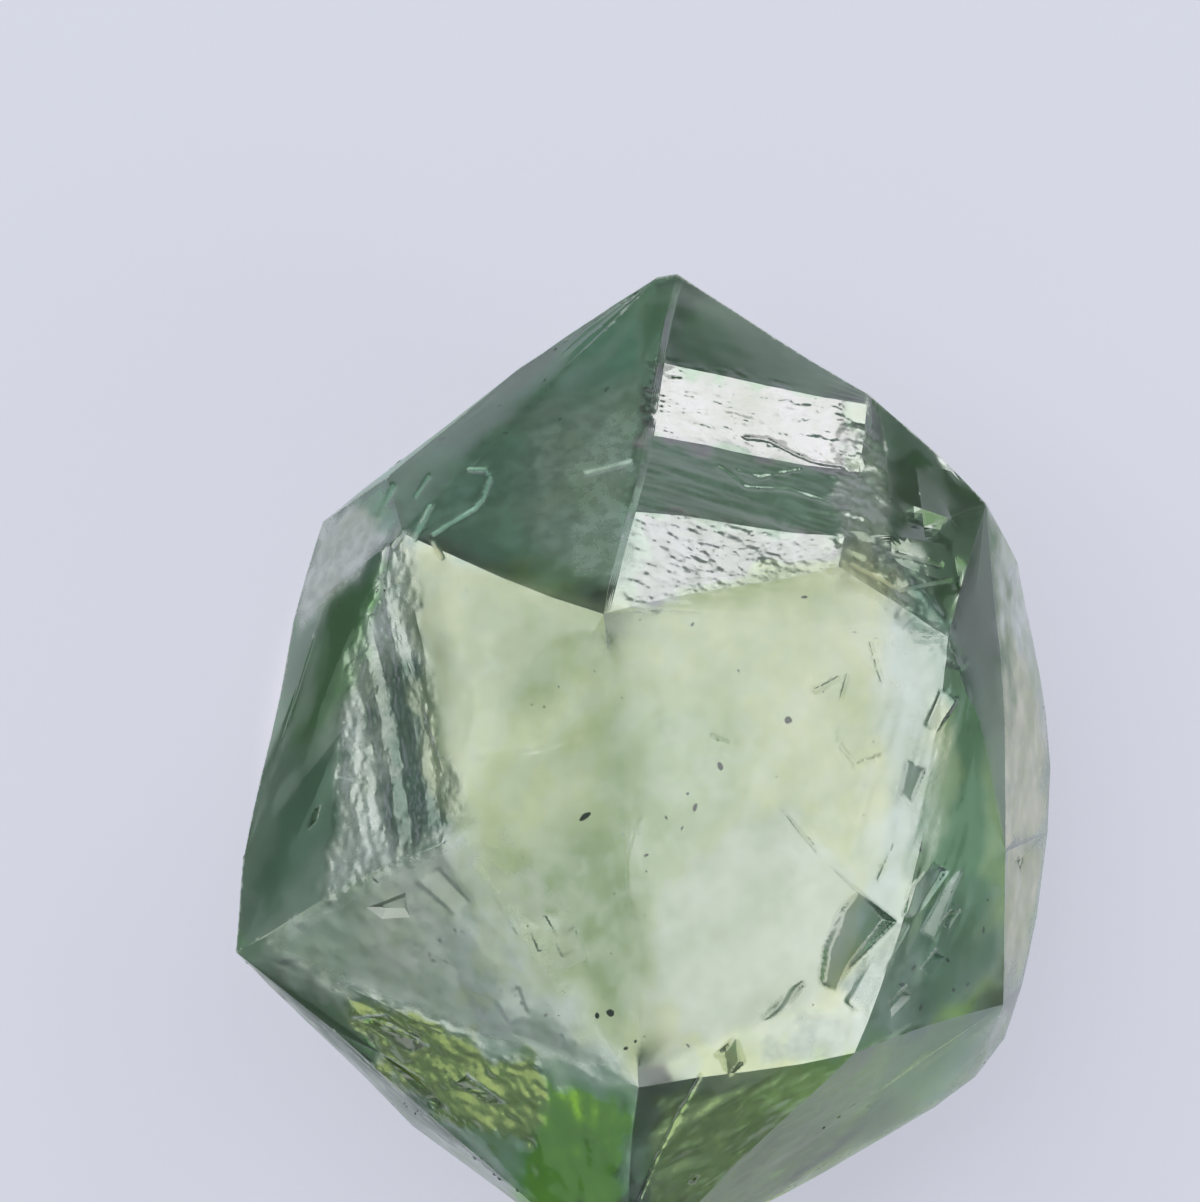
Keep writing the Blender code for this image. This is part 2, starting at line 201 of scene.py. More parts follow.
# Stains: natural irradiation and iron colour the skin unevenly. A few are painted light instead:
# near-white and yellow patches standing in for bright glints and a glow low in the window, and
# lavender tints on the two glint bands that give them the colour of the reflected light. Each is
# the width of its soft edge, the colour that the skin lets through there, and a plan outline.
STAINS_AND_PAINTED_LIGHT = (
    (0.1, "#fff9e0", (
        (2.40, 1.60), (2.55, 1.00), (2.95, 0.20), (2.95, -1.00), (2.50, -1.80), (2.45, -1.00),
        (2.45, 0.50),
    )),
    (0.12, "#5c8070", (
        (-1.82, 0.90), (-1.52, 0.72), (-1.38, 0.12), (-1.20, -0.37), (-1.71, -0.60), (-1.85, 0.10),
    )),
    (0.25, "#fff9ba", (
        (-1.68, 1.69), (-0.31, 1.30), (-0.03, 1.23), (1.44, 1.65), (2.00, 1.16), (2.21, 0.39),
        (2.00, -0.59), (1.51, -1.57), (-0.03, -2.13), (-1.01, -0.87), (-1.43, 0.11),
    )),
    (0.3, "#d2dea4", (
        (-0.31, 0.53), (0.53, 0.60), (0.81, 0.11), (0.32, -0.66), (-0.03, -1.29), (-0.31, -0.87),
        (-0.38, -0.17),
    )),
    (0.16, "#98a870", (
        (-0.58, -0.50), (-0.30, -0.45), (-0.12, -1.10), (-0.18, -1.40), (-0.42, -1.20),
    )),
    (0.3, "#a8b882", (
        (-0.45, -0.30), (-0.10, -0.60), (0.05, -1.60), (-0.15, -1.95), (-0.60, -1.30),
        (-0.95, -0.60),
    )),
    (0.3, "#ccce96", ((-1.15, 1.15), (-0.60, 1.05), (-0.55, 0.55), (-0.95, 0.40), (-1.20, 0.70))),
    (0.12, "#fbf8e6", (
        (0.11, -0.87), (0.67, -0.27), (1.02, -0.24), (1.44, -0.73), (1.44, -1.22), (1.09, -1.64),
        (0.39, -1.85), (0.04, -1.43),
    )),
    (0.12, "#d6e8e8", (
        (2.21, -0.60), (2.50, -0.80), (2.50, -1.45), (1.95, -1.75), (1.55, -1.75), (1.90, -1.10),
    )),
    (0.2, "#f4fbff", (
        (1.72, 1.25), (2.25, 1.00), (2.12, 0.65), (2.00, 0.31), (2.08, -0.18), (2.00, -0.62),
        (1.85, -1.00), (1.55, -1.50), (1.45, -1.00), (1.70, -0.20), (1.66, 0.80),
    )),
    (0.12, "#93cfb4", (
        (-0.03, 3.40), (-1.15, 2.77), (-2.20, 2.00), (-1.68, 1.69), (-0.31, 1.30), (-0.03, 1.79),
        (-0.03, 2.63),
    )),
    (0.24, "#bcd6c2", ((-0.85, 2.45), (-0.03, 2.85), (-0.08, 1.30), (-0.80, 1.45))),
    (0.1, "#9cc9a2", ((-0.03, 3.44), (1.51, 2.74), (1.44, 2.42), (0.04, 2.84))),
    (0.15, "#6cc254", ((-2.20, 1.23), (-1.78, 1.51), (-2.09, 0.53), (-2.41, 0.11), (-2.51, 0.53))),
    (0.15, "#72b48c", (
        (-2.09, 0.15), (-2.13, -0.38), (-2.76, -1.22), (-2.65, -0.52), (-2.48, 0.11),
    )),
    (0.1, "#1e5a10", (
        (-2.79, -1.32), (-1.98, -1.60), (-1.82, -2.14), (-0.73, -2.90), (-1.57, -2.44),
    )),
    (0.12, "#80dc00", ((-0.73, -2.06), (-0.03, -2.27), (-0.17, -3.32), (-1.01, -3.32))),
    (0.06, "#a8bc42", (
        (-2.04, -1.59), (-1.85, -1.57), (-1.32, -1.78), (-0.73, -2.00), (-0.69, -2.34),
        (-0.83, -2.65), (-1.15, -2.48), (-1.50, -2.37), (-1.81, -2.09),
    )),
    (0.1, "#e0ff88", (
        (0.04, -2.23), (1.44, -1.96), (2.50, -1.42), (2.00, -2.38), (0.45, -3.25), (-0.03, -3.25),
    )),
    # Painted glow: a yellow patch standing in for the colour of the bright yellow glow at the bottom
    # of the window.
    (0.1, "#ffff9c", ((0.32, -1.85), (1.02, -1.85), (1.09, -2.09), (0.32, -2.16))),
    # Painted glints: two near-white patches that let more light through, standing in for bright
    # yellow-white glints.
    (0.07, "#ffffe6", (
        (-1.08, -0.86), (-0.92, -0.80), (-0.60, -0.98), (-0.48, -1.22), (-0.62, -1.24),
        (-0.76, -1.06), (-0.98, -1.04),
    )),
    (0.07, "#ffffe6", ((-0.86, -1.30), (-0.62, -1.36), (-0.55, -1.55), (-0.78, -1.52))),
    (0.12, "#80ac9a", (
        (1.79, 1.51), (2.21, 1.09), (2.42, 0.53), (2.42, -1.43), (1.79, -1.85), (2.00, -0.59),
        (2.21, 0.18),
    )),
    (0.12, "#528c3c", (
        (1.65, 2.63), (2.42, 1.93), (2.54, 0.95), (2.50, 0.30), (2.20, 0.85), (1.79, 1.79),
    )),
    (0.1, "#5c8a48", ((1.92, 2.08), (2.24, 1.96), (2.34, 1.56), (2.06, 1.50), (1.88, 1.78))),
    # Painted reflection tint: lavender on the two glint bands takes out the green seen through them,
    # so they read the colour of the reflected softbox.
    (0.05, "#e4cfe2", ((0.01, 2.88), (1.44, 2.63), (1.44, 2.14), (-0.03, 2.35))),
    (0.05, "#e4cfe2", ((-0.04, 1.83), (1.34, 1.66), (1.33, 1.58), (-0.04, 1.20))),
    (0.05, "#98c4a2", ((-0.03, 2.35), (1.44, 2.14), (1.30, 1.69), (-0.08, 1.85))),
    (0.2, "#fbf6f0", (
        (-2.72, -1.25), (-2.20, -0.90), (-1.71, -0.60), (-1.36, -0.41), (-1.15, -0.73),
        (-1.57, -1.43), (-2.41, -1.32),
    )),
    (0.2, "#c2d6c6", ((-2.76, -1.26), (-2.30, -0.92), (-1.95, -0.78), (-2.00, -1.40))),
)

# Frost: how far abrasion or etching has turned the skin whitish, and the plan outline where it
# has. PATCH_FROST is that of the patches above.
FROST_SPOTS = (
    (0.64, (
        (-1.83, 2.06), (-2.24, 1.79), (-2.43, 1.12), (-2.41, 1.01), (-2.17, 1.29), (-1.72, 1.79),
    )),
    (0.46, ((-0.56, 2.30), (-0.03, 2.63), (-0.08, 1.40), (-0.50, 1.42))),
    (0.3, ((-0.80, 2.42), (-0.03, 2.80), (-0.08, 1.30), (-0.74, 1.50))),
    (0.2, ((-1.10, 2.40), (-0.03, 2.95), (-0.08, 1.30), (-1.05, 1.60))),
    (0.3, ((1.30, 1.79), (1.58, 1.79), (1.65, 1.23), (1.37, 1.30))),
    (0.25, ((-1.80, 2.02), (-1.40, 2.36), (-1.05, 2.20), (-1.22, 1.82), (-1.60, 1.70))),
    (0.14, (
        (-0.03, 3.30), (-1.15, 2.67), (-2.10, 1.95), (-1.68, 1.75), (-0.38, 1.30), (-0.10, 1.79),
        (-0.03, 2.63),
    )),
    (0.05, (
        (-1.60, 1.60), (-0.31, 1.20), (-0.03, 1.15), (1.40, 1.55), (1.90, 1.10), (2.00, 0.39),
        (1.85, -0.59), (1.45, -1.50), (-0.03, -2.05), (-1.20, -0.50), (-1.43, 0.11),
    )),
    (0.15, ((-2.83, -1.25), (-1.66, -2.37), (-1.57, -2.30), (-2.69, -1.22))),
    (0.31, (
        (2.21, -0.60), (2.50, -0.80), (2.50, -1.45), (1.95, -1.75), (1.55, -1.75), (1.90, -1.10),
    )),
)
PATCH_FROST = {
    "left_band": 0.38,
    "lower_left_triangle": 0.32,
    "foot_etch": 0.18,
    "hackle": 0.25,
    "foot_right": 0.20,
    "lower_terrace": 0.12,
    "terrace_riser": 0.30,
}
FROST_SOFT = 0.08

# Haze: the roughness of the clear skin, and the plan outlines where it is more etched.
PLAIN_HAZE = 0.09
HAZE_SPOTS = (
    (0.23, (
        (-1.66, 1.62), (-0.31, 1.24), (-0.03, 1.19), (1.40, 1.62), (1.90, 1.10), (2.05, 0.39),
        (1.90, -0.59), (1.45, -1.50), (-0.03, -2.08), (-1.25, -0.50), (-1.43, 0.11),
    )),
    (0.2, (
        (-2.60, -1.20), (-1.71, -0.62), (-1.25, -0.45), (-0.18, -2.08), (-0.80, -1.93),
        (-1.90, -1.52),
    )),
    (0.16, (
        (-2.04, -1.58), (-1.30, -1.80), (-0.72, -2.02), (-0.80, -2.60), (-1.12, -2.48),
        (-1.82, -2.12),
    )),
)
HAZE_SOFT = 0.10

# Blotches: whitish chalky spots; the second and third, barely frosted, are painted glints and glow,
# yellow-white patches standing in for bright spots of light. Each is how patchy it is, its frost,
# its colour and a plan outline.
BLOTCHES = (
    (1.0, 0.4, "#fffde0", (
        (-1.32, -0.52), (-1.00, -0.38), (-0.58, -0.87), (-0.37, -1.29), (-0.58, -1.57),
        (-0.86, -1.29), (-1.07, -1.64), (-1.21, -1.85), (-1.32, -1.57), (-1.14, -1.08),
    )),
    # Painted glints: a yellow-white patch standing in for bright glints there.
    (0.7, 0.1, "#ffffd0", (
        (-0.82, -0.97), (-0.47, -1.08), (-0.48, -1.26), (-0.72, -1.29), (-0.86, -1.15),
    )),
    # Painted glow: a yellow-white patch standing in for the bright glow at the bottom of the window.
    (0.2, 0.08, "#ffffc4", (
        (0.39, -1.80), (0.92, -1.80), (0.92, -2.10), (0.60, -2.13), (0.32, -1.99),
    )),
    (0.8, 0.3, "#fbfff4", ((0.88, -1.57), (1.45, -1.71), (1.34, -1.96), (0.81, -2.00))),
    (0.3, 0.4, "#f4fffc", ((1.77, -1.04), (1.85, -1.04), (1.57, -1.68), (1.36, -1.45))),
    (0.2, 0.85, "#f4fffc", ((2.21, -0.67), (2.03, -1.13), (1.94, -1.08), (2.11, -0.76))),
    (0.4, 0.1, "#f6fdff", (
        (1.65, 0.95), (2.00, 1.09), (2.21, 0.95), (2.11, 0.69), (2.00, 0.31), (2.09, -0.18),
        (2.00, -0.59), (1.79, -0.52), (1.69, 0.11),
    )),
    (0.9, 0.7, "#f4fff8", ((-1.72, 1.78), (-1.60, 1.70), (-1.66, 1.30), (-1.80, 1.20))),
    (1.0, 0.06, "#fffde8", (
        (-1.55, 1.45), (-0.90, 1.25), (-0.30, 1.05), (0.60, 1.15), (1.50, 1.40), (1.75, 0.60),
        (1.50, -0.90), (0.90, -1.50), (0.00, -1.80), (-1.10, -0.40),
    )),
)
BLOTCH_SOFT = 0.06
# Its colour shows by the first of these and by the second for its frost, up to fully.
BLOTCH_TINT = (0.3, 1.5)

# Frost of what is worn by its shape alone: the steep flanks, the ridges, the scratches and the
# steeper ledges. An inner ridge is worn less than the rim, and the frost of a scratch ends so
# many of its widths out.
FLANK_FROST = 0.80
RIDGE_FROST = 0.90
INNER_RIDGE = 0.12
SCRATCH_FROST = 0.75
SCRATCH_END = 1.5
LEDGE_FROST = 0.30

# Fine lines across the skin: the width and depth of the groove, and its plan corners. Scratches
# are frosted; the edges of growth steps and the cracks are clear.
SCRATCHES = (
    (0.014, 0.013, ((-0.40, 2.11), (-0.09, 2.19))),
    (0.01, 0.01, (
        (-1.22, 2.14), (-1.10, 2.14), (-1.07, 2.09), (-1.12, 1.93), (-1.17, 1.87), (-1.47, 1.69),
    )),
    (0.012, 0.01, ((-1.50, 2.09), (-1.59, 1.95))),
    (0.014, 0.013, ((-1.49, 1.88), (-1.60, 1.66))),
    (0.02, 0.016, ((-1.75, 2.02), (-1.85, 1.81))),
    (0.013, 0.011, ((-1.68, 1.71), (-1.75, 1.60))),
    (0.018, 0.014, ((-1.80, 1.60), (-1.84, 1.31), (-1.90, 1.15))),
    (0.012, 0.01, ((-1.47, 1.63), (-1.41, 1.53))),
    (0.012, 0.011, ((-2.13, 0.00), (-1.94, -0.04))),
    (0.014, 0.012, ((1.72, 1.56), (2.07, 1.48))),
    (0.013, 0.012, ((1.44, 1.48), (1.79, 1.30), (2.14, 1.37))),
)
STEP_LINES = (
    (0.011, 0.009, ((0.71, 2.37), (0.86, 2.36), (1.02, 2.27), (1.18, 2.20), (1.41, 2.16))),
    (0.013, 0.012, ((0.52, 2.16), (0.71, 2.02), (1.02, 2.00), (1.29, 1.91))),
    (0.01, 0.01, ((0.65, 2.14), (0.81, 2.09), (1.09, 2.14))),
    (0.007, 0.0035, ((0.93, -0.18), (1.22, -0.54), (1.50, -0.80), (1.76, -1.00))),
    (0.009, 0.0035, ((-1.24, 0.11), (-0.67, 0.19), (-0.36, 0.34))),
    (0.008, 0.006, ((-0.03, -0.27), (-0.13, -0.59), (-0.11, -0.90))),
    (0.01, 0.006, ((0.39, -2.09), (0.11, -2.62), (-0.03, -2.97))),
    (0.008, 0.006, ((1.42, 0.71), (1.35, 0.46), (1.36, 0.24), (1.48, 0.08), (1.66, 0.14))),
    (0.008, 0.007, ((1.58, 0.93), (1.66, 0.67))),
    (0.008, 0.008, ((1.19, 0.60), (1.36, 0.69))),
    (0.008, 0.006, ((1.75, -0.48), (1.64, -0.72))),
    (0.007, 0.005, ((0.48, 0.29), (0.64, 0.22))),
)

# Ledges: small flat facets set at their own slope. Each is the plan direction in degrees that it
# is tipped towards, how much steeper it is than its face, the width of its blended edge and a
# plan outline.
LEDGES = (
    (-15.0, 0.52, 0.02, (
        (1.50, -0.81), (1.75, -1.01), (1.44, -1.32), (1.34, -1.49), (1.23, -1.43), (1.26, -1.19),
        (1.38, -0.93),
    )),
    (-15.0, 0.34, 0.02, (
        (2.03, -0.61), (2.11, -0.67), (1.90, -0.97), (1.81, -0.97), (1.88, -0.76),
    )),
    (-15.0, 0.45, 0.02, ((1.12, -1.43), (1.02, -1.57), (0.84, -1.68), (0.99, -1.51))),
    (-15.0, 0.4, 0.02, ((0.53, -1.92), (0.64, -1.81), (0.69, -1.99), (0.59, -2.09))),
    (-15.0, -0.34, 0.02, ((2.21, -0.67), (2.03, -1.13), (1.94, -1.08), (2.11, -0.76))),
    (-15.0, -0.1, 0.02, ((1.77, -1.04), (1.85, -1.04), (1.51, -1.65), (1.41, -1.57))),
    (-15.0, -0.34, 0.02, ((2.07, 0.60), (2.18, 0.53), (2.04, 0.32), (1.97, 0.36))),
    (-15.0, 0.38, 0.02, ((1.83, 0.11), (1.97, 0.04), (1.88, -0.17), (1.79, -0.10))),
    (-137.0, -0.22, 0.02, ((-0.81, -1.04), (-0.69, -0.97), (-0.61, -1.11), (-0.73, -1.22))),
    (-137.0, -0.25, 0.02, ((-0.61, -1.15), (-0.48, -1.04), (-0.45, -1.18), (-0.57, -1.25))),
    (-137.0, -0.2, 0.02, ((-1.01, -1.57), (-0.87, -1.46), (-0.80, -1.64), (-0.92, -1.72))),
    (-137.0, -0.2, 0.02, ((-1.57, -0.73), (-1.43, -0.64), (-1.22, -0.87), (-1.32, -0.95))),
    (-137.0, -0.16, 0.02, ((-1.11, -0.73), (-0.97, -0.87), (-0.73, -1.04), (-0.87, -1.11))),
    (-137.0, -0.15, 0.24, (
        (-1.15, -0.62), (-0.75, -0.98), (-0.42, -1.50), (-0.55, -1.78), (-1.05, -1.62),
        (-1.30, -1.10),
    )),
)

# Ridges are worn round by so many passes within a plan outline: the middle of the front, and the
# grooves of the left band. FACE_PASSES is for all that lies between ridges.
WORN = (
    (240, (
        (-0.62, 0.98), (0.06, 1.02), (0.42, -1.60), (0.02, -2.00), (-0.38, -1.95), (-1.38, -0.55),
        (-1.42, 0.05),
    )),
    (12, (
        (-1.70, 1.45), (-1.60, 1.20), (-1.56, 0.65), (-1.44, 0.05), (-1.40, -0.30), (-1.75, -0.48),
        (-2.02, -0.62), (-2.06, 0.15), (-2.00, 0.80), (-1.86, 1.25),
    )),
)
FACE_PASSES = 6

# Mesh: the heights that it is fine above and that the rim lies above, and its longest edges on
# ridges, in grooves, on the edges of ledges and below the fine part, all in millimetres. A
# groove's fine mesh reaches out by so many of its widths, a ledge's by so many of its edge's.
FINE_ABOVE = 2.0
RIM_ABOVE = 2.1
RIDGE_MESH = 0.040
SCRATCH_MESH = 0.018
LEDGE_MESH = 0.026
COARSE_MESH = 10.0
SCRATCH_WIDTHS = 2.5
LEDGE_WIDTHS = 2.0
LEDGE_MESH_SHARE = 0.4
REFINE_PASSES = 9

# Ridges sharper than this stay crisp when the faces between them are smoothed. One counts as
# worn where its mesh edges are no longer than RIM_EDGE millimetres, and as the rim where one of
# its faces rises by less than RIM_RISE.
RIDGE_ANGLE = math.radians(8.0)
RIM_EDGE = 0.09
RIM_RISE = 0.15

# Which way the skin faces, by the rise of its normal: the least rise and the width of the blend
# for relief and for colour, and the middle, half span and blend of the frosted flanks.
RELIEF_RISE = (0.15, 0.2)
SKIN_RISE = (-0.1, 0.3)
FLANK_RISE = (0.05, 0.34, 0.12)
SEAT_HEIGHT = 0.05

# Outlines wander by slow noise: its wavelength and reach in millimetres, and how much further
# the stains wander. The rest are the soft edge of a patch and how far lines are felt.
WARP_WAVE = 0.30
WARP_REACH = 0.07
STAIN_WARP = 1.6
PATCH_SOFT = 0.06
LINE_REACH = 0.3

# Wear that is uneven from place to place: wavelength in millimetres, noise seed, middle value,
# swing, and the least and the most that it comes to.
BLOTCH_WEAR = (0.20, 9, 0.45, 1.9, 0.0, 1.0)
RIDGE_WEAR = (0.25, 5, 0.6, 0.9, 0.0, 1.0)
LINE_WEAR = (0.25, 7, 0.8, 0.9, 0.1, 1.3)

# Noise: its seeds, how many octaves each has room for, the shift between them, how far noise is
# squeezed upwards where it is drawn out, its gain, and whole numbers that scramble a lattice
# corner into a random-looking one.
ETCH_SEED = 1
SWELL_SEED = 2
WARP_SEEDS = (3, 4)
SPECK_SEED = 6
SEED_OCTAVES = 8
OCTAVE_SHIFT = 17.3
DRAWN_HEIGHT = 0.3
NOISE_GAIN = 1.5
AXIS_PRIMES = (73856093, 19349663, 83492791)
SEED_PRIME = 9176213
SCRAMBLE_FACTOR = 1103515245
SCRAMBLE_SHIFTS = (12345, 54321)
LOW_BITS = 0x7FFFFFFF
NOISE_STEPS = 4096


def gap_to_line(points, corners):
    """Plan distance in mm from each point to an open line; points beyond LINE_REACH get that."""
    gap = np.full(len(points), LINE_REACH)
    low = np.min(corners, axis=0) - LINE_REACH
    high = np.max(corners, axis=0) + LINE_REACH
    near = np.all((points[:, :2] > low) & (points[:, :2] < high), axis=1)
    close = points[near, :2]
    best = gap[near]
    for start, end in zip(corners, corners[1:]):
        start, end = np.array(start), np.array(end)
        along = end - start
        share = np.clip((close - start) @ along / (along @ along), 0.0, 1.0)
        best = np.minimum(best, np.hypot(*(close - start - share[:, None] * along).T))
    gap[near] = best
    return gap


def depth_inside(points, outline):
    """How far each point is inside a plan outline, in mm; negative outside it."""
    corners = list(outline) + [outline[0]]
    inside = np.zeros(len(points), dtype=bool)
    for (x0, y0), (x1, y1) in zip(corners, corners[1:]):
        spans = (y0 > points[:, 1]) != (y1 > points[:, 1])
        if y1 != y0:
            meets = x0 + (points[:, 1] - y0) * (x1 - x0) / (y1 - y0)
            inside ^= spans & (points[:, 0] < meets)
    return np.where(inside, 1.0, -1.0) * gap_to_line(points, corners)


def mesh_reach_at(middles, on_ridge, looks):
    """Longest mesh edge wanted at each edge's middle, in mm."""
    reach = np.full(len(middles), looks.mesh_reach / MM)
    for fine, _, outline in PATCHES.values():
        near = depth_inside(middles, outline) > -WARP_REACH
        reach[near] = np.minimum(reach[near], fine)
    reach[on_ridge] = np.minimum(reach[on_ridge], RIDGE_MESH)
    for width, _, corners in SCRATCHES + STEP_LINES:
        near = gap_to_line(middles, corners) < SCRATCH_WIDTHS * width
        reach[near] = np.minimum(reach[near], SCRATCH_MESH)
    for _, _, soft, outline in LEDGES:
        near = np.abs(depth_inside(middles, outline)) < LEDGE_WIDTHS * soft
        reach[near] = np.minimum(reach[near], max(LEDGE_MESH, LEDGE_MESH_SHARE * soft))
    reach[middles[:, 2] < looks.mesh_low / MM] = COARSE_MESH
    return reach


def refine_front(bm, looks):
    """Split edges until the front's mesh is as fine as each place needs."""
    bm.normal_update()
    ridges = {edge for edge in bm.edges if edge.calc_face_angle(0.0) > RIDGE_ANGLE}
    for edge in bm.edges:
        edge.smooth = edge not in ridges
    for _ in range(REFINE_PASSES):
        bm.verts.index_update()
        spots = np.array([vert.co[:] for vert in bm.verts])
        edges = list(bm.edges)
        ends = np.array([(edge.verts[0].index, edge.verts[1].index) for edge in edges])
        worn = np.zeros(len(spots), dtype=bool)
        worn[ends[[not edge.smooth for edge in edges]].ravel()] = True
        wanted = mesh_reach_at(spots[ends].mean(axis=1) / MM, worn[ends].any(axis=1), looks) * MM
        lengths = np.linalg.norm(spots[ends[:, 0]] - spots[ends[:, 1]], axis=1)
        long_edges = [edges[k] for k in np.nonzero(lengths > wanted)[0]]
        if not long_edges:
            break
        bmesh.ops.subdivide_edges(bm, edges=long_edges, cuts=1, use_grid_fill=False)
        bmesh.ops.triangulate(bm, faces=[face for face in bm.faces if len(face.verts) > 3])


def lattice_noise(points, seed):
    """Smooth gradient noise, about -1 to 1, on the whole-number lattice that the points lie in."""
    cell = np.floor(points).astype(np.int64)
    part = points - cell
    fade = part * part * part * (part * (part * 6.0 - 15.0) + 10.0)
    total = np.zeros(len(points))
    for corner in ((x, y, z) for x in (0, 1) for y in (0, 1) for z in (0, 1)):
        spot = cell + corner
        code = np.bitwise_xor.reduce(spot * AXIS_PRIMES, axis=1)
        code = (code + seed * SEED_PRIME) & LOW_BITS
        code = (code * SCRAMBLE_FACTOR + SCRAMBLE_SHIFTS[0]) & LOW_BITS
        code = ((code >> 7) * SCRAMBLE_FACTOR + SCRAMBLE_SHIFTS[1]) & LOW_BITS
        height = ((code >> 4) % NOISE_STEPS) / (NOISE_STEPS / 2.0) - 1.0
        turn = ((code >> 16) % NOISE_STEPS) / NOISE_STEPS * 2.0 * math.pi
        flat = np.sqrt(1.0 - height * height)
        slope = np.stack((flat * np.cos(turn), flat * np.sin(turn), height), axis=1)
        weight = np.prod(np.where(corner, fade, 1.0 - fade), axis=1)
        total += weight * np.sum(slope * (part - corner), axis=1)
    return NOISE_GAIN * total


def fractal(points, wave, seed, octaves=3):
    """Gradient noise summed over octaves: wave is the widest wavelength, all in mm."""
    total = np.zeros(len(points))
    for octave in range(octaves):
        fine = 2.0**octave
        shifted = points * fine / wave + OCTAVE_SHIFT * octave
        total += lattice_noise(shifted, seed * SEED_OCTAVES + octave) / fine
    return total


def wear(points, wave, seed, middle, swing, least, most):
    """Wear at each point, uneven from place to place."""
    return np.clip(middle + swing * fractal(points, wave, seed), least, most)


def plan_direction(angle):
    """The plan direction at an angle in degrees from +X."""
    turn = math.radians(angle)
    return np.array((math.cos(turn), math.sin(turn)))


def drawn_out(points, angle, stretch):
    """Points squeezed along a plan direction, so that noise read there runs that way."""
    along = plan_direction(angle)
    across = np.array((-along[1], along[0]))
    plan = points[:, :2]
    return np.stack((plan @ along / stretch, plan @ across, points[:, 2] * DRAWN_HEIGHT), axis=1)


def soft_share(points, outline, soft):
    """1 well inside a plan outline, 0 well outside it, blended over the width of its edge."""
    return np.clip(depth_inside(points, outline) / soft + 0.5, 0.0, 1.0)


def warped_plan(points, reach):
    """Points shifted in plan by slow noise, so that outlines read there wander naturally."""
    warp = np.stack([fractal(points, WARP_WAVE, seed) for seed in WARP_SEEDS], axis=1) * reach
    return np.concatenate((points[:, :2] + warp, points[:, 2:]), axis=1)


def facing_up(normals, least, blend):
    """0 where a normal rises by less than the least, 1 where by that and the blend or more."""
    return np.clip((normals[:, 2] - least) / blend, 0.0, 1.0)


def relief(points, normals, looks):
    """How far each point of the crystal stands proud of its plain face, in mm."""
    front = facing_up(normals, *RELIEF_RISE)
    rise = looks.etch_height * front * fractal(points, looks.etch_wave, ETCH_SEED)
    rise += looks.swell_height * fractal(points, looks.swell_wave, SWELL_SEED)
    warped = warped_plan(points, WARP_REACH)
    for _, layers, outline in PATCHES.values():
        near = np.nonzero(depth_inside(points, outline) > -2.0 * WARP_REACH)[0]
        share = soft_share(warped[near], outline, PATCH_SOFT) * front[near]
        for height, wave, stretch, angle, seed in layers:
            drawn = drawn_out(points[near], angle, stretch)
            rise[near] += looks.patch_height * height * share * fractal(drawn, wave, seed)
    uneven = wear(points, *LINE_WEAR)
    for width, depth, corners in SCRATCHES + STEP_LINES:
        gap = gap_to_line(points, corners)
        rise -= depth * uneven * front * np.exp(-((gap / width) ** 2))
    for direction, steeper, soft, outline in LEDGES:
        along = points[:, :2] @ plan_direction(direction)
        middle = np.mean(outline, axis=0) @ plan_direction(direction)
        share = soft_share(points, outline, soft) * front
        rise -= share * steeper * (along - middle) * normals[:, 2]
    return rise


def ridge_share(vert, ridge):
    """1 on the rim, where a front face meets the sides, less on an inner ridge, 0 elsewhere."""
    if vert not in ridge or vert.co.z < RIM_ABOVE * MM:
        return 0.0
    upper = [edge for edge in vert.link_edges if edge.other_vert(vert).co.z > FINE_ABOVE * MM]
    if max((edge.calc_length() for edge in upper), default=1.0) > RIM_EDGE * MM:
        return 0.0
    return 1.0 if min(face.normal.z for face in vert.link_faces) < RIM_RISE else INNER_RIDGE


def blotch_shares(points):
    """How much of each blotch lies at each point, from 0 to 1, with its frost and its colour."""
    mottle = wear(points, *BLOTCH_WEAR)
    for patchy, frost, tint, outline in BLOTCHES:
        share = soft_share(points, outline, BLOTCH_SOFT)
        yield share * (1.0 - patchy + patchy * mottle), frost, tint


def stain_and_painted_light_colours(points, normals, on_ridge):
    """The colour that the skin lets through at each point, linear: stains, some painted glints, glow
    and reflection tints among them, and white on the rim.
    """
    colour = np.ones((len(points), 3))
    warped = warped_plan(points, STAIN_WARP * WARP_REACH)
    upper = facing_up(normals, *SKIN_RISE)
    for soft, tint, outline in STAINS_AND_PAINTED_LIGHT:
        share = (soft_share(warped, outline, soft) * upper)[:, None]
        colour = colour * (1.0 - share) + np.array(srgb(tint)) * share
    for spread, frost, tint in blotch_shares(points):
        full = min(1.0, BLOTCH_TINT[0] + BLOTCH_TINT[1] * frost)
        share = (spread * upper * full)[:, None]
        colour = colour * (1.0 - share) + np.array(srgb(tint)) * share
    return colour * (1.0 - on_ridge[:, None]) + on_ridge[:, None]


def haze_share(points):
    """How rough the clear skin is at each point: etched faces blur what is seen through them."""
    haze = np.full(len(points), PLAIN_HAZE)
    for amount, outline in HAZE_SPOTS:
        haze = np.maximum(haze, amount * soft_share(points, outline, HAZE_SOFT))
    return haze


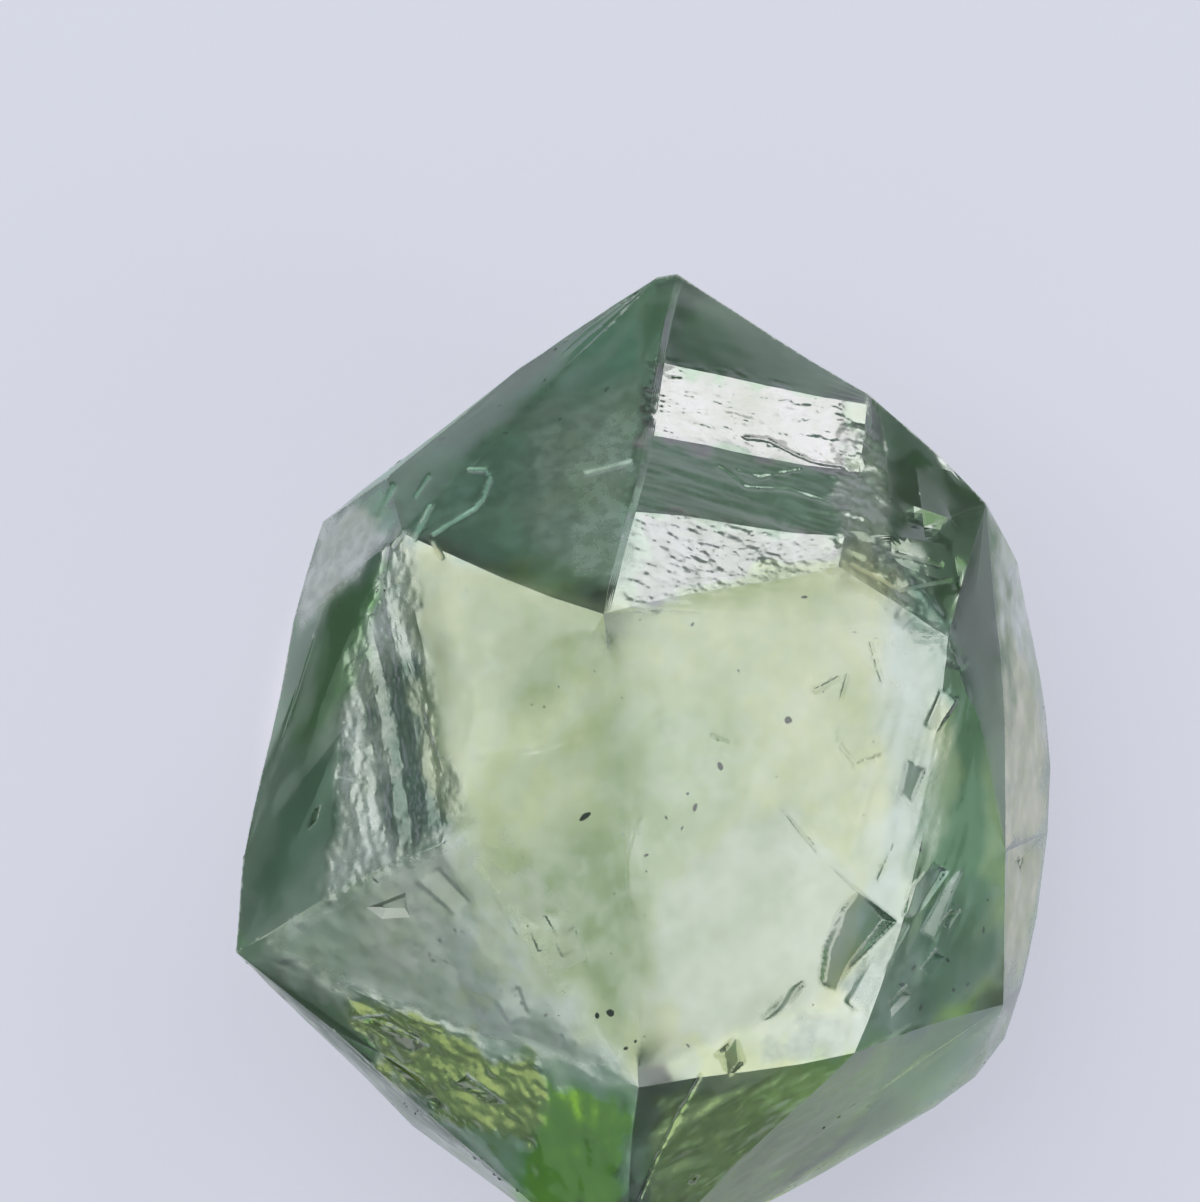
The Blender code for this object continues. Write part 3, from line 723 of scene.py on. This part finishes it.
def frost_share(points, normals, on_ridge):
    """How whitish and rough the skin is at each point, from 0 to 1."""
    middle, span, blend = FLANK_RISE
    flank = np.clip((span - np.abs(normals[:, 2] - middle)) / blend, 0.0, 1.0)
    frost = FLANK_FROST * flank
    warped = warped_plan(points, WARP_REACH)
    upper = facing_up(normals, *SKIN_RISE)
    spots = [(amount, PATCHES[name][-1]) for name, amount in PATCH_FROST.items()]
    for amount, outline in spots + list(FROST_SPOTS):
        share = soft_share(warped, outline, FROST_SOFT) * upper
        frost = np.maximum(frost, amount * share)
    for spread, amount, _ in blotch_shares(points):
        frost = np.maximum(frost, amount * spread * upper)
    for _, steeper, soft, outline in LEDGES:
        if steeper > 0.0:
            frost = np.maximum(frost, LEDGE_FROST * soft_share(points, outline, soft) * upper)
    frost = np.maximum(frost, RIDGE_FROST * on_ridge * wear(points, *RIDGE_WEAR))
    for width, _, corners in SCRATCHES:
        near = np.clip(SCRATCH_END - gap_to_line(points, corners) / width, 0.0, 1.0)
        frost = np.maximum(frost, SCRATCH_FROST * near * upper)
    return frost


class DiamondCrystalSettings(bpy.types.PropertyGroup):
    """Sizes and colours of the crystal."""

    mesh_reach: length_property("Mesh edge", "Longest mesh edge on the front", 0.080 * MM)
    mesh_low: length_property("Fine above", "Height above which the mesh is refined", FINE_ABOVE * MM)
    etch_height: number_property("Etch height (mm)", "Relief of the plain etched faces", 0.0016)
    etch_wave: number_property("Etch wavelength (mm)", "Width of the etch hillocks", 0.45)
    swell_height: number_property("Swell height (mm)", "Slow waves of the growth faces", 0.012)
    swell_wave: number_property("Swell wavelength (mm)", "Width of the slow waves", 1.1)
    patch_height: number_property("Patch relief", "Its height against the patches' design", 1.0)
    absorption: number_property("Absorption", "Strength of the body colour, per metre", 260.0)
    body_colour: colour_property("Body colour", "Colour that the diamond lets through", "#b1d7be")


# Diamond's index, the roughness that full frost adds, and widths of its patterns in
# millimetres. The etch pits and the grain of the frost are coarser than real ones, to show.
DIAMOND_INDEX = 2.417
FROST_ROUGHNESS = 0.42
PIT_WIDTH = 0.16
PIT_DEPTH = 0.0005
CLOUD_WIDTH = 0.45
FROST_GRAIN = 0.10


def diamond_material(looks):
    """Diamond, natural green, with etched growth faces.

    Index 2.417 gives strong mirror-like glints and traps light behind steep faces; faint etching
    blurs both. The green comes from the depth of stone that the light has crossed and from
    stains in its skin; a few of these stains are painted glints, glow and reflection tints.
    Frosted places are whitish, rough and let less light through.
    """
    material = bpy.data.materials.new("diamond_etched_growth_faces")
    tree = empty_tree(material)
    place = add_node(tree, "ShaderNodeTexCoord")
    etch = add_node(
        tree, "ShaderNodeTexNoise", {"Vector": place.outputs["Object"]},
        Scale=1.0 / (PIT_WIDTH * MM), Detail=1.0, Roughness=0.5,
    )
    bump = add_node(
        tree, "ShaderNodeBump", {"Height": etch.outputs["Fac"]},
        Strength=1.0, Distance=PIT_DEPTH * MM,
    )
    patch = add_node(
        tree, "ShaderNodeTexNoise", {"Vector": place.outputs["Object"]},
        Scale=1.0 / (CLOUD_WIDTH * MM), Detail=2.0, Roughness=0.55,
    )
    cloud = add_node(tree, "ShaderNodeValToRGB", {"Fac": patch.outputs["Fac"]})
    stops = ((0.30, "#ccd6ba"), (0.66, "#ffffff"))
    for element, (position, tint) in zip(cloud.color_ramp.elements, stops):
        element.position = position
        element.color = (*srgb(tint), 1.0)
    # Stain colours, painted glints, glow and reflection tints among them.
    stain_and_painted_light = add_node(tree, "ShaderNodeAttribute", attribute_name="stain_and_painted_light")
    skin = add_node(tree, "ShaderNodeMix", data_type="RGBA", blend_type="MULTIPLY")
    skin.inputs[0].default_value = 1.0
    tree.links.new(stain_and_painted_light.outputs["Color"], skin.inputs[6])
    tree.links.new(cloud.outputs["Color"], skin.inputs[7])
    frost = add_node(tree, "ShaderNodeAttribute", attribute_name="frost")
    grain = add_node(
        tree, "ShaderNodeTexNoise", {"Vector": place.outputs["Object"]},
        Scale=1.0 / (FROST_GRAIN * MM), Detail=2.0, Roughness=0.6,
    )
    fleck = add_node(
        tree, "ShaderNodeMapRange", {"Value": grain.outputs["Fac"]},
        From_Min=0.38, From_Max=0.62, To_Min=0.75, To_Max=1.15,
    )
    white = add_node(
        tree, "ShaderNodeMath", {0: frost.outputs["Fac"], 1: fleck.outputs["Result"]},
        operation="MULTIPLY", use_clamp=True,
    )
    clear = add_node(tree, "ShaderNodeMath", {1: white.outputs["Value"]}, operation="SUBTRACT")
    clear.inputs[0].default_value = 1.0
    haze = add_node(tree, "ShaderNodeAttribute", attribute_name="haze")
    matt = add_node(
        tree, "ShaderNodeMath", {0: white.outputs["Value"], 2: haze.outputs["Fac"]},
        operation="MULTIPLY_ADD",
    )
    matt.inputs[1].default_value = FROST_ROUGHNESS
    shader = add_node(
        tree, "ShaderNodeBsdfPrincipled",
        {
            "Base Color": skin.outputs[2],
            "Roughness": matt.outputs["Value"],
            "Transmission Weight": clear.outputs["Value"],
            "Normal": bump.outputs["Normal"],
        },
        IOR=DIAMOND_INDEX,
    )
    depth = add_node(
        tree, "ShaderNodeVolumeAbsorption",
        Color=(*looks.body_colour, 1.0), Density=looks.absorption,
    )
    add_node(
        tree, "ShaderNodeOutputMaterial",
        {"Surface": shader.outputs["BSDF"], "Volume": depth.outputs["Volume"]},
    )
    return material


def smooth(bm, verts, passes):
    """Ease vertices half way to the middle of their neighbours, at each pass."""
    for _ in range(passes):
        bmesh.ops.smooth_vert(
            bm, verts=verts, factor=0.5, use_axis_x=True, use_axis_y=True, use_axis_z=True
        )


def worn_crystal(looks):
    """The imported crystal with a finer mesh, smooth faces and worn ridges.

    The second thing returned is the set of its vertices that lie on ridges.
    """
    bm = packed_crystal()
    refine_front(bm, looks)
    ridge = {vert for edge in bm.edges if not edge.smooth for vert in edge.verts}
    smooth(bm, [vert for vert in bm.verts if vert not in ridge], FACE_PASSES)
    spots = places(bm.verts)
    for passes, outline in WORN:
        within = (depth_inside(spots, outline) > 0.0) & (spots[:, 2] > FINE_ABOVE)
        smooth(bm, [vert for vert, is_worn in zip(bm.verts, within) if is_worn], passes)
    bm.normal_update()
    return bm, ridge


class DIAMOND_OT_crystal(bpy.types.Operator):
    """Refine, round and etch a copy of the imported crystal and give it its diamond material"""

    bl_idname = "diamond.crystal"
    bl_label = "Crystal"

    def execute(self, context):
        looks = context.scene.diamond_crystal
        bm, ridge = worn_crystal(looks)
        points = places(bm.verts)
        normals = np.array([vert.normal[:] for vert in bm.verts])
        on_ridge = np.array([ridge_share(vert, ridge) for vert in bm.verts])
        stain_and_painted_light = stain_and_painted_light_colours(points, normals, on_ridge)
        rise = relief(points, normals, looks)
        rise[points[:, 2] < SEAT_HEIGHT] = 0.0
        for vert, height in zip(bm.verts, rise):
            vert.co += vert.normal * float(height) * MM
        for face in bm.faces:
            face.smooth = True
        mesh = bpy.data.meshes.new("crystal")
        bm.to_mesh(mesh)
        bm.free()
        tints = mesh.attributes.new("stain_and_painted_light", "FLOAT_COLOR", "POINT")
        tints.data.foreach_set("color", np.hstack((stain_and_painted_light, np.ones((len(stain_and_painted_light), 1)))).ravel())
        shares = (("frost", frost_share(points, normals, on_ridge)), ("haze", haze_share(points)))
        for name, values in shares:
            mesh.attributes.new(name, "FLOAT", "POINT").data.foreach_set("value", values)
        mesh.materials.clear()
        mesh.materials.append(diamond_material(looks))
        crystal = show(bpy.data.objects.new("crystal", mesh))
        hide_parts(NODE)
        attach(crystal, BODY)
        return {"FINISHED"}


# ---------------------------------------------------------------- inclusions

# Larger mineral specks under the skin: plan place and radius.
SPECKS = (
    (1.02, 0.39, 0.030), (0.55, 0.07, 0.026), (0.37, -0.22, 0.022), (-0.41, -0.28, 0.028),
    (0.32, -0.12, 0.012), (0.17, -0.29, 0.012), (0.28, -0.36, 0.011), (0.03, -0.55, 0.012),
    (0.03, -0.66, 0.009), (0.67, 0.74, 0.009), (0.35, 1.06, 0.012), (1.13, 1.25, 0.014),
    (-0.24, -1.65, 0.030), (-0.33, -1.67, 0.020), (1.90, -1.34, 0.020), (1.82, -1.46, 0.018),
    (2.18, -1.50, 0.020), (1.95, -1.62, 0.020), (-1.01, 2.60, 0.016), (-0.97, 2.41, 0.014),
    (-0.59, 2.51, 0.016), (-0.26, 2.72, 0.020), (-1.41, 2.37, 0.020), (-1.88, -0.73, 0.014),
    (-1.43, -1.15, 0.020), (-1.32, -1.08, 0.016), (-1.48, -1.29, 0.014), (0.32, -1.88, 0.012),
    (-1.50, -1.25, 0.016), (-1.60, -1.18, 0.012), (-1.27, -1.09, 0.012), (-1.39, -1.30, 0.010),
    (-0.86, -1.59, 0.016), (-0.69, -1.67, 0.014), (-1.00, -1.50, 0.010), (-0.58, -1.81, 0.012),
    (-0.03, -1.85, 0.012), (-0.13, -1.90, 0.014), (2.14, -1.29, 0.016), (2.39, -1.08, 0.014),
    (2.28, -1.46, 0.018), (2.42, -0.87, 0.012), (2.18, -0.90, 0.010),
)
# Their shape: how lumpy they are, how wide the lumps are against the speck, how far the noise
# moves, how far they lean, how they are turned and drawn out from one to the next, and how flat
# they are, Y and Z.
SPECK_LUMPS = 0.45
LUMP_WIDTH = 1.3
LUMP_SHIFT = 3.0
SPECK_LEAN = 0.4
SPECK_TURN = 2.3
SPECK_LONGER = 0.25
SPECK_FLAT = (0.8, 0.6)
# Width of the mottling of a speck in millimetres, and the share of light left in its dark parts.
MOTTLE_WIDTH = 0.02
MOTTLE_DARK = 0.45
# The smallest grain of dust against the largest, and the rise of the faces that carry it.
DUST_SMALLEST = 0.25
DUST_RISE = 0.5


class DiamondInclusionSettings(bpy.types.PropertyGroup):
    """Sizes and numbers of what the crystal has shut in."""

    speck_depth: length_property("Speck depth", "Depth of the specks under the skin", 0.07 * MM)
    speck_colour: colour_property("Speck colour", "Colour of the specks", "#4c573c")
    dust_count: number_property("Dust density", "Fine specks per square millimetre of skin", 3.5)
    dust_size: length_property("Dust size", "Radius of the largest fine speck", 0.008 * MM)
    dust_seed: bpy.props.IntProperty(
        name="Dust seed", description="Which scatter of fine specks is drawn", default=4,
    )


def mineral_material(name, colour):
    """Tiny dark mineral grains, such as graphite: dull, rough and nearly opaque."""
    material = bpy.data.materials.new(name)
    tree = empty_tree(material)
    place = add_node(tree, "ShaderNodeTexCoord")
    grain = add_node(
        tree, "ShaderNodeTexNoise", {"Vector": place.outputs["Object"]},
        Scale=1.0 / (MOTTLE_WIDTH * MM), Detail=2.0,
    )
    tone = add_node(tree, "ShaderNodeValToRGB", {"Fac": grain.outputs["Fac"]})
    tone.color_ramp.elements[0].color = (*[MOTTLE_DARK * value for value in colour], 1.0)
    tone.color_ramp.elements[1].color = (*colour, 1.0)
    shader = add_node(
        tree, "ShaderNodeBsdfPrincipled", {"Base Color": tone.outputs["Color"]}, Roughness=0.7,
    )
    add_node(tree, "ShaderNodeOutputMaterial", {"Surface": shader.outputs["BSDF"]})
    return material


def skin_below(tree, x, y, depth):
    """The point a given depth inside the skin over a plan place, all in metres."""
    hit, normal, _, _ = tree.ray_cast(Vector((x, y, 1.0)), Vector((0.0, 0.0, -1.0)))
    return hit - normal * depth


class DIAMOND_OT_specks(bpy.types.Operator):
    """Set the larger mineral specks just under the crystal's skin"""

    bl_idname = "diamond.specks"
    bl_label = "Specks"

    def execute(self, context):
        looks = context.scene.diamond_inclusions
        bm = packed_crystal()
        tree = BVHTree.FromBMesh(bm)
        bm.clear()
        for number, (x, y, radius) in enumerate(SPECKS):
            centre = skin_below(tree, x * MM, y * MM, looks.speck_depth)
            made = bmesh.ops.create_icosphere(bm, subdivisions=2, radius=radius * MM)["verts"]
            shifted = places(made) + LUMP_SHIFT * number
            noise = fractal(shifted, LUMP_WIDTH * radius, SPECK_SEED)
            lean = Vector((math.sin(number), math.cos(number))) * SPECK_LEAN
            turn = Euler((*lean, SPECK_TURN * number)).to_matrix()
            shape = Vector((1.0 + SPECK_LONGER * (number % 4), *SPECK_FLAT))
            for vert, lump in zip(made, 1.0 + SPECK_LUMPS * noise):
                vert.co = centre + turn @ (vert.co * shape * float(lump))
        mesh = bpy.data.meshes.new("mineral_specks")
        bmesh.ops.recalc_face_normals(bm, faces=bm.faces)
        for face in bm.faces:
            face.smooth = True
        bm.to_mesh(mesh)
        bm.free()
        mesh.materials.append(mineral_material("graphite_grains", looks.speck_colour))
        specks = show(bpy.data.objects.new("mineral_specks", mesh))
        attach(specks, BODY)
        return {"FINISHED"}


def dust_tree(material):
    """Scatter tiny faceted grains over a surface, of random size and turn."""
    tree = bpy.data.node_groups.new("dust_scatter", "GeometryNodeTree")
    tree.interface.new_socket("Skin", in_out="INPUT", socket_type="NodeSocketGeometry")
    for name, kind in (("Density", "Float"), ("Radius", "Float"), ("Seed", "Int")):
        tree.interface.new_socket(name, in_out="INPUT", socket_type="NodeSocket" + kind)
    tree.interface.new_socket("Dust", in_out="OUTPUT", socket_type="NodeSocketGeometry")
    given = add_node(tree, "NodeGroupInput")
    points = add_node(
        tree, "GeometryNodeDistributePointsOnFaces",
        {
            "Mesh": given.outputs["Skin"],
            "Density": given.outputs["Density"],
            "Seed": given.outputs["Seed"],
        },
    )
    grain = add_node(
        tree, "GeometryNodeMeshIcoSphere", {"Radius": given.outputs["Radius"]}, Subdivisions=1,
    )
    size = add_node(
        tree, "FunctionNodeRandomValue", {"Seed": given.outputs["Seed"]}, data_type="FLOAT",
    )
    size.inputs[2].default_value = DUST_SMALLEST
    size.inputs[3].default_value = 1.0
    turn = add_node(
        tree, "FunctionNodeRandomValue", {"Seed": given.outputs["Seed"]},
        data_type="FLOAT_VECTOR",
    )
    turn.inputs[1].default_value = (math.tau, math.tau, math.tau)
    placed = add_node(
        tree, "GeometryNodeInstanceOnPoints",
        {
            "Points": points.outputs["Points"],
            "Instance": grain.outputs["Mesh"],
            "Rotation": turn.outputs[0],
            "Scale": size.outputs[1],
        },
    )
    real = add_node(tree, "GeometryNodeRealizeInstances", {"Geometry": placed.outputs["Instances"]})
    finish = add_node(tree, "GeometryNodeSetMaterial", {"Geometry": real.outputs["Geometry"]})
    finish.inputs["Material"].default_value = material
    add_node(tree, "NodeGroupOutput", {"Dust": finish.outputs["Geometry"]})
    return tree


def set_input(modifier, name, value):
    """Set a Geometry Nodes modifier's input by its name."""
    for socket in modifier.node_group.interface.items_tree:
        if socket.item_type == "SOCKET" and socket.in_out == "INPUT" and socket.name == name:
            modifier[socket.identifier] = value


class DIAMOND_OT_dust(bpy.types.Operator):
    """Scatter fine mineral dust just under the skin of the upward faces"""

    bl_idname = "diamond.dust"
    bl_label = "Dust"

    def execute(self, context):
        looks = context.scene.diamond_inclusions
        bm = packed_crystal()
        bm.normal_update()
        for vert in bm.verts:
            vert.co -= vert.normal * looks.speck_depth
        down = [face for face in bm.faces if face.normal.z < DUST_RISE]
        bmesh.ops.delete(bm, geom=down, context="FACES")
        mesh = bpy.data.meshes.new("dust_skin")
        bm.to_mesh(mesh)
        bm.free()
        skin = show(bpy.data.objects.new("dust_skin", mesh))
        modifier = skin.modifiers.new("dust_scatter", "NODES")
        material = mineral_material("mineral_dust", looks.speck_colour)
        modifier.node_group = dust_tree(material)
        set_input(modifier, "Density", looks.dust_count / MM**2)
        set_input(modifier, "Radius", looks.dust_size)
        set_input(modifier, "Seed", looks.dust_seed)
        evaluated = skin.evaluated_get(context.evaluated_depsgraph_get())
        grains = bpy.data.meshes.new_from_object(evaluated)
        bpy.data.objects.remove(skin, do_unlink=True)
        dust = show(bpy.data.objects.new("mineral_dust", grains))
        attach(dust, BODY)
        return {"FINISHED"}


# ---------------------------------------------------------------- stage


class DiamondStageSettings(bpy.types.PropertyGroup):
    """Sizes and colours of the stage."""

    floor_reach: length_property("Floor width", "Width of the square floor", 0.4)
    floor_colour: colour_property("Floor colour", "Colour of the pale floor", "#cccbd4")
    floor_glow: number_property("Floor glow", "Light that the floor gives out", 0.66)
    # Painted pool of light: how much brighter the floor glows under the stone, standing in for the
    # light that the stone gathers.
    painted_pool_boost: number_property("Pool", "How much brighter the floor is under the stone", 2.6)
    far_share: bpy.props.FloatProperty(
        name="Far floor", description="Share of the floor's light left far from the stone",
        default=0.22, min=0.0, max=1.0, subtype="FACTOR",
    )
    room_low: colour_property("Room light, low", "Soft light from the sides", "#95a2a2")
    room_high: colour_property("Room light, high", "Dim cool light from overhead", "#6f7e81")


# Softboxes: name, azimuth and elevation in degrees, width in metres and brightness. Azimuth 0
# is +X and 90 is +Y.
SOFTBOXES = (
    ("softbox_terraces", 60.0, 24.0, 0.28, 1.95),
    ("softbox_right", -14.0, 31.0, 0.24, 1.05),
    ("softbox_left", 165.0, 24.0, 0.24, 0.9),
    ("softbox_overhead", 125.0, 58.0, 0.56, 0.80),
)
SOFTBOX_DISTANCE = 0.60

# The camera: its distance in metres above the rim, the nearest and farthest that it sees, the
# rim's height as a share of the crystal's, its sensor, the width that it sees at the rim and the
# plan point that it looks down on, in millimetres.
CAMERA_DISTANCE = 0.40
CAMERA_CLIP = (0.001, 10.0)
RIM_SHARE = 0.55
SENSOR_MM = 36.0
VIEW_WIDTH_MM = 8.40
VIEW_CENTRE_MM = (-0.305, 1.225)

# The floor, in millimetres: how far it lies under the crystal, where the bright pool ends, where
# the floor fades, and the width of its faint mottling, which is this share darker. The pool is
# painted light: the floor glows brighter and pinker under the stone, standing in for the light
# that the stone gathers onto it. Far from the pool its light is a little bluer.
FLOOR_DROP = 0.01
PAINTED_POOL_EDGE = (1.8, 2.8)
FADE_EDGE = (7.5, 22.0)
FLOOR_MOTTLE = 3.0
MOTTLE_SHARE = 0.985
FLOOR_LIGHT = "#cecdda"
PAINTED_POOL_LIGHT = "#dacdd8"

# The rise between which the room's light turns from that of its sides to that overhead.
ROOM_RISE = (0.25, 0.85)


def floor_material(looks):
    """Matt opal plastic of a light table, fading far away from the stone, with a painted pool of
    light under the stone: a brighter, pinker glow standing in for the light that the stone gathers
    onto it.
    """
    material = bpy.data.materials.new("light_table_matt_opal")
    tree = empty_tree(material)
    place = add_node(tree, "ShaderNodeTexCoord")
    reach = add_node(
        tree, "ShaderNodeVectorMath", {0: place.outputs["Object"]}, operation="LENGTH",
    )
    # Painted pool of light: the floor glows brighter under the stone, standing in for the light that
    # the stone gathers onto it.
    painted_pool = add_node(
        tree, "ShaderNodeMapRange", {"Value": reach.outputs["Value"]},
        interpolation_type="SMOOTHSTEP", From_Min=PAINTED_POOL_EDGE[0] * MM, From_Max=PAINTED_POOL_EDGE[1] * MM,
        To_Min=looks.painted_pool_boost * looks.floor_glow, To_Max=looks.floor_glow,
    )
    fade = add_node(
        tree, "ShaderNodeMapRange", {"Value": reach.outputs["Value"]},
        interpolation_type="SMOOTHSTEP", From_Min=FADE_EDGE[0] * MM, From_Max=FADE_EDGE[1] * MM,
        To_Min=1.0, To_Max=looks.far_share,
    )
    glow = add_node(
        tree, "ShaderNodeMath", {0: painted_pool.outputs["Result"], 1: fade.outputs["Result"]},
        operation="MULTIPLY",
    )
    # The glow turns pinker in the painted pool of light under the stone.
    warmth = add_node(tree, "ShaderNodeValToRGB", {"Fac": painted_pool.outputs["Result"]})
    stops = ((looks.floor_glow, FLOOR_LIGHT), (1.0, PAINTED_POOL_LIGHT))
    for element, (position, tint) in zip(warmth.color_ramp.elements, stops):
        element.position = position
        element.color = (*srgb(tint), 1.0)
    grain = add_node(
        tree, "ShaderNodeTexNoise", {"Vector": place.outputs["Object"]},
        Scale=1.0 / (FLOOR_MOTTLE * MM), Detail=0.0,
    )
    tone = add_node(tree, "ShaderNodeValToRGB", {"Fac": grain.outputs["Fac"]})
    for element, share in zip(tone.color_ramp.elements, (MOTTLE_SHARE, 1.0)):
        element.color = (*[share * value for value in looks.floor_colour], 1.0)
    dimmed = add_node(
        tree, "ShaderNodeVectorMath", {0: tone.outputs["Color"], "Scale": fade.outputs["Result"]},
        operation="SCALE",
    )
    shader = add_node(
        tree, "ShaderNodeBsdfPrincipled",
        {"Base Color": dimmed.outputs["Vector"], "Emission Strength": glow.outputs["Value"]},
        Roughness=0.9, Specular_IOR_Level=0.0,
    )
    tree.links.new(warmth.outputs["Color"], shader.inputs["Emission Color"])
    add_node(tree, "ShaderNodeOutputMaterial", {"Surface": shader.outputs["BSDF"]})
    return material


def room_light(looks):
    """An even room: soft light from the sides, dimmer and cooler overhead."""
    world = bpy.data.worlds.new("room")
    tree = empty_tree(world)
    place = add_node(tree, "ShaderNodeTexCoord")
    parts = add_node(tree, "ShaderNodeSeparateXYZ", {"Vector": place.outputs["Generated"]})
    height = add_node(
        tree, "ShaderNodeMapRange", {"Value": parts.outputs["Z"]},
        interpolation_type="SMOOTHSTEP", From_Min=ROOM_RISE[0], From_Max=ROOM_RISE[1],
    )
    blend = add_node(
        tree, "ShaderNodeMix", {"Factor": height.outputs["Result"]}, data_type="RGBA",
    )
    for socket, colour in ((6, looks.room_low), (7, looks.room_high)):
        blend.inputs[socket].default_value = (*colour, 1.0)
    backdrop = add_node(tree, "ShaderNodeBackground", {"Color": blend.outputs[2]})
    add_node(tree, "ShaderNodeOutputWorld", {"Surface": backdrop.outputs["Background"]})
    return world


class DIAMOND_OT_stage(bpy.types.Operator):
    """Lay the floor, hang the softboxes and set the camera straight above the crystal"""

    bl_idname = "diamond.stage"
    bl_label = "Stage"

    def execute(self, context):
        looks = context.scene.diamond_stage
        bpy.ops.mesh.primitive_plane_add(size=looks.floor_reach, location=(0.0, 0.0, 0.0))
        floor = context.object
        floor.name = "floor"
        floor.location.z = -FLOOR_DROP * MM
        floor.data.materials.append(floor_material(looks))

        context.scene.world = room_light(looks)

        aim = Vector((0.0, 0.0, CAD_TOP / 2.0))
        for name, azimuth, elevation, width, brightness in SOFTBOXES:
            light = bpy.data.lights.new(name, "AREA")
            light.size = width
            light.energy = brightness * width * width * math.pi
            turn, lift = math.radians(azimuth), math.radians(elevation)
            direction = Vector(
                (math.cos(lift) * math.cos(turn), math.cos(lift) * math.sin(turn), math.sin(lift))
            )
            lamp = show(bpy.data.objects.new(name, light))
            lamp.location = aim + direction * SOFTBOX_DISTANCE
            lamp.rotation_euler = (-direction).to_track_quat("-Z", "Y").to_euler()

        lens = bpy.data.cameras.new("camera")
        lens.sensor_width = SENSOR_MM
        lens.lens = SENSOR_MM * CAMERA_DISTANCE / (VIEW_WIDTH_MM * MM)
        lens.clip_start, lens.clip_end = CAMERA_CLIP
        camera = show(bpy.data.objects.new("camera", lens))
        x, y = VIEW_CENTRE_MM
        camera.location = (x * MM, y * MM, RIM_SHARE * CAD_TOP + CAMERA_DISTANCE)
        context.scene.camera = camera
        context.scene.view_settings.view_transform = "Standard"
        return {"FINISHED"}


class DIAMOND_PT_panel(bpy.types.Panel):
    """Lists the steps that dress the diamond"""

    bl_idname = "DIAMOND_PT_panel"
    bl_label = "Rough Diamond"
    bl_space_type = "VIEW_3D"
    bl_region_type = "UI"
    bl_category = "Diamond"

    def draw(self, context):
        for step in STEPS:
            self.layout.operator(step.bl_idname)


STEPS = (DIAMOND_OT_crystal, DIAMOND_OT_specks, DIAMOND_OT_dust, DIAMOND_OT_stage)
SETTINGS = {
    "diamond_crystal": DiamondCrystalSettings,
    "diamond_inclusions": DiamondInclusionSettings,
    "diamond_stage": DiamondStageSettings,
}


def register():
    """Register the settings, the steps and the panel."""
    for name, group in SETTINGS.items():
        bpy.utils.register_class(group)
        setattr(bpy.types.Scene, name, bpy.props.PointerProperty(type=group))
    for step in STEPS:
        bpy.utils.register_class(step)
    bpy.utils.register_class(DIAMOND_PT_panel)


def unregister():
    """Take everything that register() added away again."""
    bpy.utils.unregister_class(DIAMOND_PT_panel)
    for step in reversed(STEPS):
        bpy.utils.unregister_class(step)
    for name, group in reversed(list(SETTINGS.items())):
        delattr(bpy.types.Scene, name)
        bpy.utils.unregister_class(group)


def main():
    """Register the steps, dress the diamond and light it."""
    register()
    bpy.ops.diamond.crystal()
    bpy.ops.diamond.specks()
    bpy.ops.diamond.dust()
    bpy.ops.diamond.stage()


if __name__ == "__main__":
    main()
